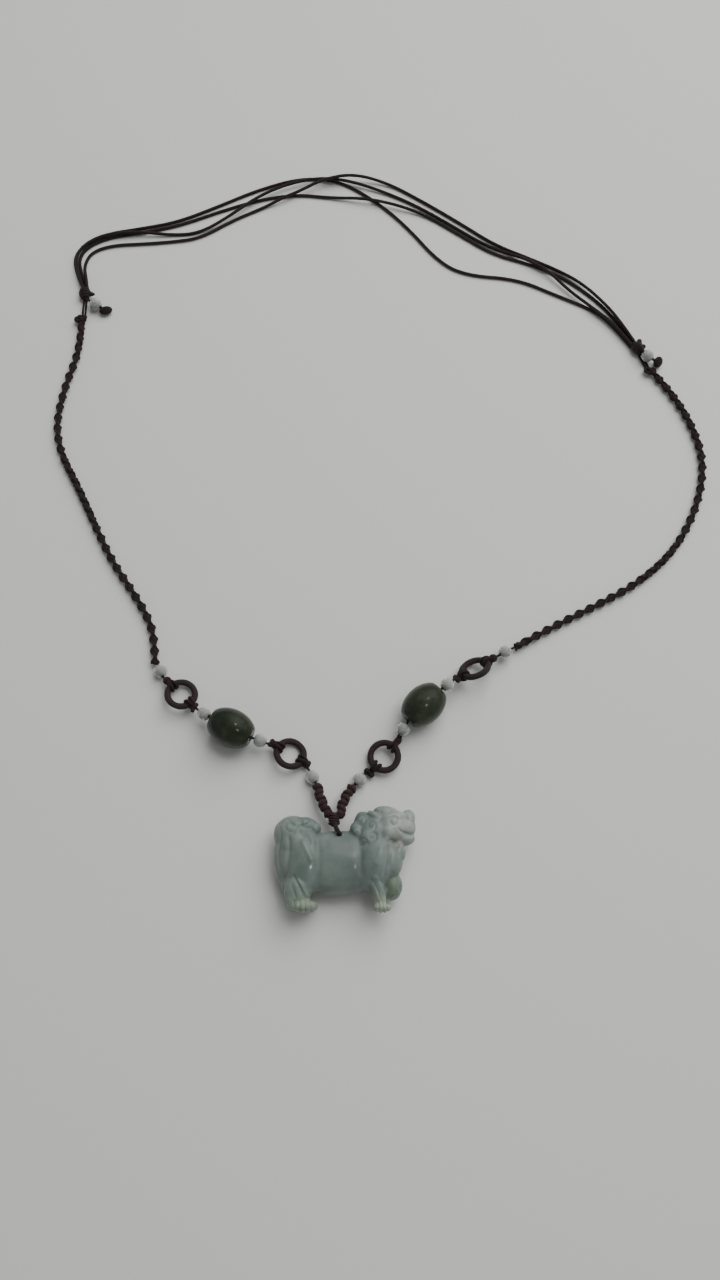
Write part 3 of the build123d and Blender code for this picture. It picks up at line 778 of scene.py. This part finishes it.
for side, place in adjusters.items():
    run = unit(place["run"])
    slider = np.array(place["slider"])
    flank = np.cross(up, run)
    shapes = [
        tube(wound_oval(slider, run, up, 5.4, 2.1, 4.5, 0.55, 0.62), 0.55),
        ball(slider, np.array([flank, np.cross(run, flank), run]), (2.3, 1.7, 2.6)),
    ]
    for ear, start, stop, thin in place["ears"]:
        shapes.append(stub(slider + unit(ear) * start, slider + unit(ear) * stop, 1.7, thin, 12))
    cord_piece(f"{side}_wound_slider", shapes, f"{side}_slider_knot")

    knot = middle(f"{side}_braid_top_knot")
    knot_line = trefoil(knot + (0.1, -0.2, 0), (0.1, 0.1, 1), (1, 0, 0), 0.75, 0.5, 1.3)
    shapes = [tube(knot_line, 0.6, closed=True)]
    for offset, size, thick in place["lobes"]:
        lobe_line = loop_line(knot + offset, (0.15, 0.25, 1), (1, 0, 0), size, 0.1, 24)
        shapes.append(tube(lobe_line, thick, closed=True))
    cord_piece(f"{side}_top_knot", shapes, f"{side}_braid_top_knot")

    for number, offset in ((1, -0.45), (2, 0.45)):
        start, stop = (np.array(point) + flank * offset for point in place["cords"])
        bow = (start + stop) / 2 + flank * offset * 0.35
        pair_cord = tube(spline_points([start, bow, stop], 0.4), 0.39)
        cord_piece(f"{side}_pair_cord_{number}", [pair_cord], f"{side}_thin_cord_{number}")

    start, stop = (np.array(point) for point in place["tail"])
    tail_line = spline_points([start, (start + stop) / 2 + place["lean"], stop], 0.4)
    cord_piece(f"{side}_tail_cord", [tube(tail_line, 0.5)], f"{side}_tail")
    end = middle(f"{side}_end_knot")
    way = unit(place["end_way"])
    long, wide = place["end_sizes"]
    shapes = [
        tube(wound_oval(end, way, up, long, 1.5, 6, 0.36, 0.86), 0.36, 9),
        ball(end, np.array([np.cross(up, way), up, way]), (wide / 2, 1.3, long / 2)),
    ]
    cord_piece(f"{side}_tail_knot", shapes, f"{side}_end_knot")


# qilin pendant
# One piece of grey-green jade, carved alike on both faces: rounded masses first, then cut
# lines and curls, then the bore for the loop, and a wax polish all over.
jade_middle = np.array((-12.9, -145.46, 6.8))
jade_masses = [
    # middle, half-sizes and turn of each mass. One off the middle plane is on both sides.
    # The trunk, haunches, rump and tail
    ((-1.7, -1.1, 0), (18.3, 10.1, 6.1), 2), ((-13, -0.6, 1.6), (7.8, 10.5, 5.05), 12),
    ((-16.6, 7.9, 0), (6.2, 6, 5), 0), ((-19.2, 1.2, 0), (3.6, 9.1, 3.7), 0),
    ((-19.4, 7, 0), (3.4, 5.2, 3.2), 14), ((-12.4, 10.3, 0), (4.2, 3.1, 3.9), -12),
    ((-15.6, 4.2, 2.2), (5, 5.6, 3.9), 20), ((-18.4, -6.8, 0), (2.2, 4.4, 2.6), 12),
    ((-9.6, 9.6, 1.4), (2.1, 1.9, 2.2), 20),
    # The shoulders, chest, neck and mane
    ((9.5, -0.6, 1.6), (6.9, 9.9, 5), -10), ((14.3, -0.4, 0), (4.4, 6, 5.2), 0),
    ((9, 7.9, 0), (6.2, 7.1, 5), -25), ((6.2, 10.9, 0), (3.5, 4.3, 4), 0),
    ((4.2, 8.4, 1.6), (2.4, 3.4, 2.9), 24), ((7.6, 6, 2.8), (3.2, 3.8, 2.9), 18),
    ((5.4, 12.3, 0), (2.2, 2.9, 2.9), 0),
    # The head, cheeks, muzzle, jaw, nose, brow, beard, ears and eyes
    ((14.8, 10.2, 0), (6.2, 5.6, 4.7), 0), ((14, 8.6, 2), (3.6, 3.4, 2.9), 10),
    ((19.7, 10, 0), (3.2, 3.6, 3.6), 0), ((19.6, 6.4, 0), (3, 2.2, 2.9), 8),
    ((20.4, 13.2, 0), (2.4, 2.7, 2.9), 0), ((21.1, 12.6, 1.5), (1.6, 1.5, 1.6), 0),
    ((16.6, 13.6, 1.7), (3, 1.7, 2.2), -8), ((13.3, 15, 0), (4.2, 2, 3.1), -4),
    ((17.7, 2.8, 1.3), (1.7, 3.3, 1.7), 14), ((9.6, 13.7, 3), (2.7, 1.1, 1.1), -24),
    ((15.7, 11.6, 4.05), (1.15, 1.15, 0.9), 0),
    # The hind legs and paws
    ((-14.6, -9.4, 2.7), (4.4, 6.3, 3.1), -6), ((-13.2, -14.7, 2.7), (4.7, 2.2, 2.95), 0),
    ((-16.4, -12.6, 2.7), (2.1, 2.8, 2.5), 10),
]
jade_forelegs = [
    # The near foreleg stands, and the far one is lifted forward
    ((10.3, -9.4, 2.5), (2.5, 6.1, 2.95), 15), ((11.8, -15.1, 2.6), (3.1, 1.85, 2.9), 0),
    ((12.9, -4, -2.2), (3.3, 5, 3.4), 25), ((15.1, -8.5, -1), (3.35, 4.5, 3.8), -6),
    ((16.6, -9.8, -1.2), (1.5, 2.6, 3), -30),
]


def fused_skin(shells, drill, voxel, smoothing):
    """Fuse overlapping shells into one skin of even quads, drill it, and soften its creases.
    Returns the places, the outward normals and the quads."""
    rough = mesh_object("rough_jade", *joined(shells)[:2])
    cutter = mesh_object("drill", *drill[:2])
    for kind, settings in (
        ("REMESH", {"mode": "VOXEL", "voxel_size": voxel * 1.25}),
        ("BOOLEAN", {"operation": "DIFFERENCE", "object": cutter}),
        ("REMESH", {"mode": "VOXEL", "voxel_size": voxel}),
        ("SMOOTH", {"factor": 0.5, "iterations": smoothing}),
    ):
        modifier = rough.modifiers.new(kind.lower(), kind)
        for key, value in settings.items():
            setattr(modifier, key, value)
    bpy.context.view_layer.update()
    skin = bpy.data.meshes.new_from_object(rough.evaluated_get(bpy.context.evaluated_depsgraph_get()))
    places, normals = vertex_values(skin, "co"), vertex_values(skin, "normal")
    quads = np.empty(len(skin.loops), dtype=np.int64)
    skin.loops.foreach_get("vertex_index", quads)
    for made in (rough, cutter):
        mesh = made.data
        bpy.data.objects.remove(made)
        bpy.data.meshes.remove(mesh)
    bpy.data.meshes.remove(skin)
    return places, normals, quads.reshape(-1, 4)


def cut_line(points, count=24):
    """A Catmull-Rom curve through the points."""
    points = np.array(points, float)
    ends = np.vstack([2 * points[0] - points[1], points, 2 * points[-1] - points[-2]])
    t = np.linspace(0, len(points) - 1 - 1e-9, count)
    k = t.astype(int)
    f = (t - k)[:, None]
    p0, p1, p2, p3 = (ends[k + i] for i in range(4))
    return p1 + 0.5 * f * (p2 - p0 + f * (2 * p0 - 5 * p1 + 4 * p2 - p3 + f * (3 * p1 - p0 - 3 * p2 + p3)))


curl_turns = 1.35


def curl(centre, radius, start, way):
    """A flat spiral that winds in: at share t the reach is radius * (1 - t)^0.8."""
    t = np.linspace(0, 1, 40)
    angle = radians(start) + way * 2 * pi * curl_turns * t
    reach = radius * (1 - t) ** 0.8
    return np.stack([centre[0] + reach * np.cos(angle), centre[1] + reach * np.sin(angle)], 1)


def relief(places, points, height, width, taper=True):
    """How far the skin rises along a line: height * exp(-(distance / width)^2), fading at the
    line's ends and towards the middle plane, so that both faces are carved alike."""
    flat = places[:, :2]
    points = np.array(points, float)
    runs = lengths_along(points)
    nearest = np.full(len(flat), 1e9)
    along = np.zeros(len(flat))
    for first, second, start, stop in zip(points, points[1:], runs, runs[1:]):
        run = stop - start
        share = np.clip(((flat - first) @ (second - first)) / run ** 2, 0, 1)
        far = np.linalg.norm(flat - first - share[:, None] * (second - first), axis=1)
        along = np.where(far < nearest, (start + share * run) / runs[-1], along)
        nearest = np.minimum(far, nearest)
    rise = height * np.exp(-(nearest / width) ** 2) * np.clip(np.abs(places[:, 2]) / 1.6, 0, 1)
    return rise * np.clip(np.minimum(along, 1 - along) * 6 + 0.25, 0, 1) if taper else rise


both_sides = [
    ((x, y, level), halves, turn)
    for (x, y, z), halves, turn in jade_masses for level in ((z, -z) if z else (z,))
]
shells = []
for place, halves, turn in both_sides + jade_forelegs:
    t = radians(turn)
    axes = np.array([(cos(t), sin(t), 0), (-sin(t), cos(t), 0), (0, 0, 1)])
    shells.append(ball(np.array(place), axes, halves, 28, 40))
drill_radius, drill_core, drill_half = 0.88, 0.001, 9.0
drill_low = [(drill_core, -drill_half), (drill_radius, -drill_half)]
drill_profile = drill_low + [(radius, -low) for radius, low in drill_low[::-1]]
drill = turned(np.array((*bore, mid_z)) - jade_middle, (0, 0, 1), drill_profile, 24)
places, normals, quads = fused_skin(shells, drill, 0.27, 9)

cuts = [
    # The lines round the haunch and the shoulder, and the two hind locks of the tail
    ([(-9.3, 7.2), (-8.2, 2.4), (-8, -2.6), (-9.6, -7.6), (-11.2, -10.2)], -0.4, 1),
    ([(-17.8, 7.4), (-17.4, 3), (-17.7, -2), (-18.6, -6.8)], -0.7, 0.7),
    ([(-14.4, 8.6), (-11.6, 6.6), (-10.7, 3.8)], -0.5, 0.5),
    ([(-20.6, 9.8), (-20.2, 5.6), (-20.9, 0.2), (-20.4, -4.4)], -0.4, 0.4),
    ([(-18.7, 12.6), (-15.6, 10.2), (-13.2, 10.5), (-11.2, 12)], -0.45, 0.45),
    ([(4, 4.8), (5, 1), (5.2, -3.4), (6.6, -7.4)], -0.35, 1),
    ([(13.9, 4), (14.2, 0.2), (13.2, -3.6), (12.4, -6.6)], -0.6, 0.6),
    # The sinews of the legs
    ([(-16.2, -5.2), (-14.2, -8.6), (-12.6, -12.4)], -0.35, 0.45),
    ([(-16.6, -8.2), (-15.4, -11.4), (-14.9, -13.2)], -0.3, 0.4),
    ([(8.2, -6.4), (10.2, -9.6), (11.3, -13.2)], -0.3, 0.4),
    # The mouth, the jaw and the beard
    ([(23.4, 8.1), (21, 7.6), (18.6, 8.1), (17.2, 9.3)], -0.8, 0.36),
    ([(16.4, 5), (15, 5.6), (13.4, 5.4), (11.9, 7)], -0.5, 0.45),
    ([(18.9, 5), (18.4, 3), (18.6, 1)], -0.35, 0.3), ([(17.4, 4.8), (16.9, 2.6), (17.2, 0.2)], -0.35, 0.3),
    # Raised: the thigh's front edge, the hock, the shoulder flame, the elbow and the eyelid
    ([(-13.6, 5.4), (-11.8, 2.2), (-10, -1.6)], 0.6, 0.75),
    ([(-14.9, -6.4), (-12.9, -9.4), (-11.2, -12.2)], 0.45, 0.5),
    ([(11.6, 3.8), (11.2, 0.4), (9.9, -2.8)], 0.5, 1), ([(9.7, -5.6), (11.3, -8.6), (12.6, -11.6)], 0.4, 0.5),
    ([(13.2, 12.9), (15.6, 13.6), (17.9, 12.6)], 0.4, 0.45),
]
lift = sum(relief(places, cut_line(points), height, width) for points, height, width in cuts)
for centre, radius, start, way in (
    ((4.9, 12.3), 1.9, -60, 1), ((3.6, 8), 1.8, -60, 1), ((5.6, 4.6), 1.7, -50, 1),
    ((8.4, 10.2), 1.7, -70, 1), ((8.7, 6.6), 1.6, -60, 1), ((-17.2, 10.2), 2.5, 20, -1),
    ((-12, 10.9), 1.7, 160, 1),
):
    lift += relief(places, curl(centre, radius, start, way), -0.27, 0.42)
# The toes of the standing paws, and of the raised one
toes = [(x, -15) for x in (-10.6, -12.3, -14, -15.7)] + [(x, -15.2) for x in (10.6, 12, 13.4)]
toe_cuts = [((x, low + 1.7), (x + 0.15, low - 2.2)) for x, low in toes]
toe_cuts += [((15.2, -11.4), (13.6, -13)), ((16.6, -10.2), (15.6, -12.6)), ((17.6, -8.6), (17.8, -11))]
for toe_cut in toe_cuts:
    lift += relief(places, toe_cut, -0.4, 0.26, False)
# The groove round the eye, and the nostril
socket = np.hypot(places[:, 0] - 15.7, places[:, 1] - 11.6)
lift -= 0.35 * np.exp(-((socket - 1.35) / 0.3) ** 2) * (np.abs(places[:, 2]) > 2)
nostril = np.hypot(places[:, 0] - 21.9, places[:, 1] - 13.0)
lift -= 0.6 * np.exp(-(nostril / 0.55) ** 2) * (np.abs(places[:, 2]) > 0.6)
carving_depth = 0.78
jade_half = np.array((23.0, 17.0, 6.8))
places = np.clip(places + normals * (carving_depth * lift)[:, None], -jade_half, jade_half)

# A soft patch of colour: 1 inside an ellipsoid and 0 outside, with a cloudy edge
soft_patch, given, result = new_group(
    "soft_patch", {"Middle": "NodeSocketVector", "Reach": "NodeSocketVector"}, {"Mask": "NodeSocketFloat"}
)
place = node(soft_patch, "ShaderNodeTexCoord")
edge_noise = texture(soft_patch, "ShaderNodeTexNoise", in_Scale=190.0, in_Detail=3.0)
offset, share, length = (
    node(soft_patch, "ShaderNodeVectorMath", operation=name) for name in ("SUBTRACT", "DIVIDE", "LENGTH")
)
fade = node(
    soft_patch, "ShaderNodeMapRange", interpolation_type="SMOOTHSTEP", in_From_Min=1.3, in_From_Max=0.35
)
ragged = maths(soft_patch, "MULTIPLY_ADD", edge_noise.outputs[0], 0.7, -0.35)
link(
    soft_patch,
    (place.outputs["Object"], offset.inputs[0]), (given["Middle"], offset.inputs[1]),
    (offset.outputs[0], share.inputs[0]), (given["Reach"], share.inputs[1]),
    (share.outputs[0], length.inputs[0]),
    (maths(soft_patch, "ADD", length.outputs["Value"], ragged), fade.inputs["Value"]),
    (fade.outputs[0], result["Mask"]),
)

jade, tree, shader = new_material("grey_green_jade", {
    "Roughness": 0.16, "IOR": 1.5, "Subsurface Weight": 0.85, "Subsurface Radius": (1.0, 1.1, 1.0),
    "Subsurface Scale": 0.0035, "Transmission Weight": 0.32,
})
cloud = texture(
    tree, "ShaderNodeTexNoise", in_Scale=130.0, in_Detail=4.0, in_Roughness=0.55, in_Distortion=0.6
)
vein = texture(tree, "ShaderNodeTexNoise", in_Scale=420.0, in_Detail=5.0, in_Roughness=0.6)
ripple = texture(tree, "ShaderNodeTexNoise", in_Scale=260.0, in_Detail=2.0)
blend = maths(tree, "MULTIPLY_ADD", cloud.outputs[0], 0.75, maths(tree, "MULTIPLY", vein.outputs[0], 0.25))
clouds = node(tree, "ShaderNodeMapRange", in_From_Min=0.36, in_From_Max=0.64)
base = node(
    tree, "ShaderNodeMix", data_type="RGBA", in_A=(0.150, 0.189, 0.175, 1), in_B=(0.214, 0.261, 0.238, 1)
)
link(tree, (blend, clouds.inputs["Value"]), (clouds.outputs[0], base.inputs["Factor"]))
tint = base.outputs["Result"]
for middle_of, reach_of, colour, amount in (
    # Painted light: the thin rump and tail edge lighter, as light shines through the stone.
    ((-20, 4, 0), (4.6, 14, 9), (0.228, 0.272, 0.243), 0.75),
    # Painted shade: the thick haunch and trunk darker, where less light comes through the stone.
    ((-13.5, -2, 0), (5, 6.5, 9), (0.092, 0.131, 0.109), 0.6),
    ((2, 1, 0), (9, 8.5, 9), (0.114, 0.137, 0.137), 0.6),
    # Painted sheen: the chest and shoulder lighter.
    ((14, 0.6, 0), (4.2, 5.6, 9), (0.262, 0.302, 0.282), 0.7),
    # Painted light: the head pale, as light shines through the stone.
    ((17.5, 11, 0), (7, 7.5, 9), (0.405, 0.428, 0.404), 0.9),
    # Painted shadow: a warm brown shade under the jaw and beard.
    ((17, 5, 0), (3.2, 3.6, 9), (0.255, 0.243, 0.210), 0.5),
    # Painted highlights: lighter strips on the upper face only, along the raised shoulder flame and the
    # thigh's front edge.
    ((11.2, 0.4, 3), (2.2, 4.4, 6), (0.245, 0.290, 0.278), 0.6),
    ((-11.8, 2, 4), (1.8, 4.6, 5), (0.235, 0.290, 0.260), 0.6),
    # The paws: their own tone is more olive, and painted light through the thin stone makes them lighter.
    ((-13.2, -14.6, 0), (6.5, 4.6, 9), (0.265, 0.325, 0.235), 0.85),
    ((12, -14.6, 0), (4.5, 4.8, 9), (0.330, 0.380, 0.280), 0.85),
    # Painted shade: the lifted far foreleg darker, where it lies beneath the near leg and the body.
    ((15.2, -8.4, -1), (3.6, 4.8, 6), (0.125, 0.165, 0.100), 0.85),
):
    mask = node(
        tree, "ShaderNodeGroup", node_tree=soft_patch, in_Middle=(np.array(middle_of) + jade_middle) * 0.001,
        in_Reach=np.array(reach_of) * 0.001,
    )
    layer = node(tree, "ShaderNodeMix", data_type="RGBA", in_B=(*colour, 1))
    share = maths(tree, "MULTIPLY", mask.outputs["Mask"], amount)
    link(tree, (share, layer.inputs["Factor"]), (tint, layer.inputs["A"]))
    tint = layer.outputs["Result"]
link(tree, (tint, shader.inputs["Base Color"]))
bump_skin(tree, shader, ripple.outputs[0], 0.12, 0.0003)

carved = mesh_object("carved_jade_qilin", (places + jade_middle) * 0.001, quads.tolist())
finished(carved, jade, "jade", "qilin_pendant")


# floor and light
# A pale grey table top. The room is bright low down and dimmer straight overhead. A window at
# the back right gives the broad soft light, and a ceiling lamp and a desk lamp give the sparks
# on the stones.
table = np.array([(-3, -3, 0), (3, -3, 0), (3, 3, 0), (-3, 3, 0)])
floor = mesh_object("floor", table, [(0, 1, 2, 3)])
table_top, _, _ = new_material("table_top", {"Base Color": (0.54, 0.54, 0.528, 1), "Roughness": 0.6})
floor.data.materials.append(table_top)

world = bpy.data.worlds.new("room")
bpy.context.scene.world = world
world.use_nodes = True
tree = world.node_tree
background = tree.nodes["Background"]
background.inputs["Color"].default_value = (0.98, 1.0, 0.99, 1)
sky = node(tree, "ShaderNodeTexCoord")
split = node(tree, "ShaderNodeSeparateXYZ")
overhead = node(
    tree, "ShaderNodeMapRange", interpolation_type="SMOOTHSTEP", in_From_Min=0.55, in_From_Max=0.97,
    in_To_Min=0.36, in_To_Max=0.18,
)
towards = node(tree, "ShaderNodeVectorMath", operation="DOT_PRODUCT")
towards.inputs[1].default_value = unit((0.40, 0.62, 0.68))
link(
    tree,
    (sky.outputs["Generated"], split.inputs[0]), (split.outputs[2], overhead.inputs["Value"]),
    (sky.outputs["Generated"], towards.inputs[0]),
)
facing = maths(tree, "MAXIMUM", towards.outputs["Value"], 0.0)
lobe = maths(tree, "MULTIPLY", maths(tree, "POWER", facing, 7.0), 0.78)
link(tree, (maths(tree, "ADD", overhead.outputs[0], lobe), background.inputs["Strength"]))


def area_light(name, place, aim, width, length, power):
    """A rectangular lamp that faces its aim."""
    data = bpy.data.lights.new(name, "AREA")
    data.shape = "RECTANGLE"
    data.size = width
    data.size_y = length
    data.energy = power
    lamp = placed(name, data)
    lamp.location = place
    way = unit(np.array(aim) - np.array(place))
    lamp.rotation_euler = (np.arccos(-way[2]), 0, np.arctan2(way[0], -way[1]) + pi)
    return lamp


area_light("ceiling_lamp", (0.55, 0.55, 1.9), (0, -0.1, 0), 0.05, 0.18, 1.2)
window = area_light("window", (0.45, 0.58, 1.05), (0, -0.05, 0), 1.2, 1.2, 22.5)
window.visible_glossy = False
area_light("desk_lamp", (0.19, -0.23, 0.60), (0, -0.12, 0), 0.012, 0.034, 0.16)
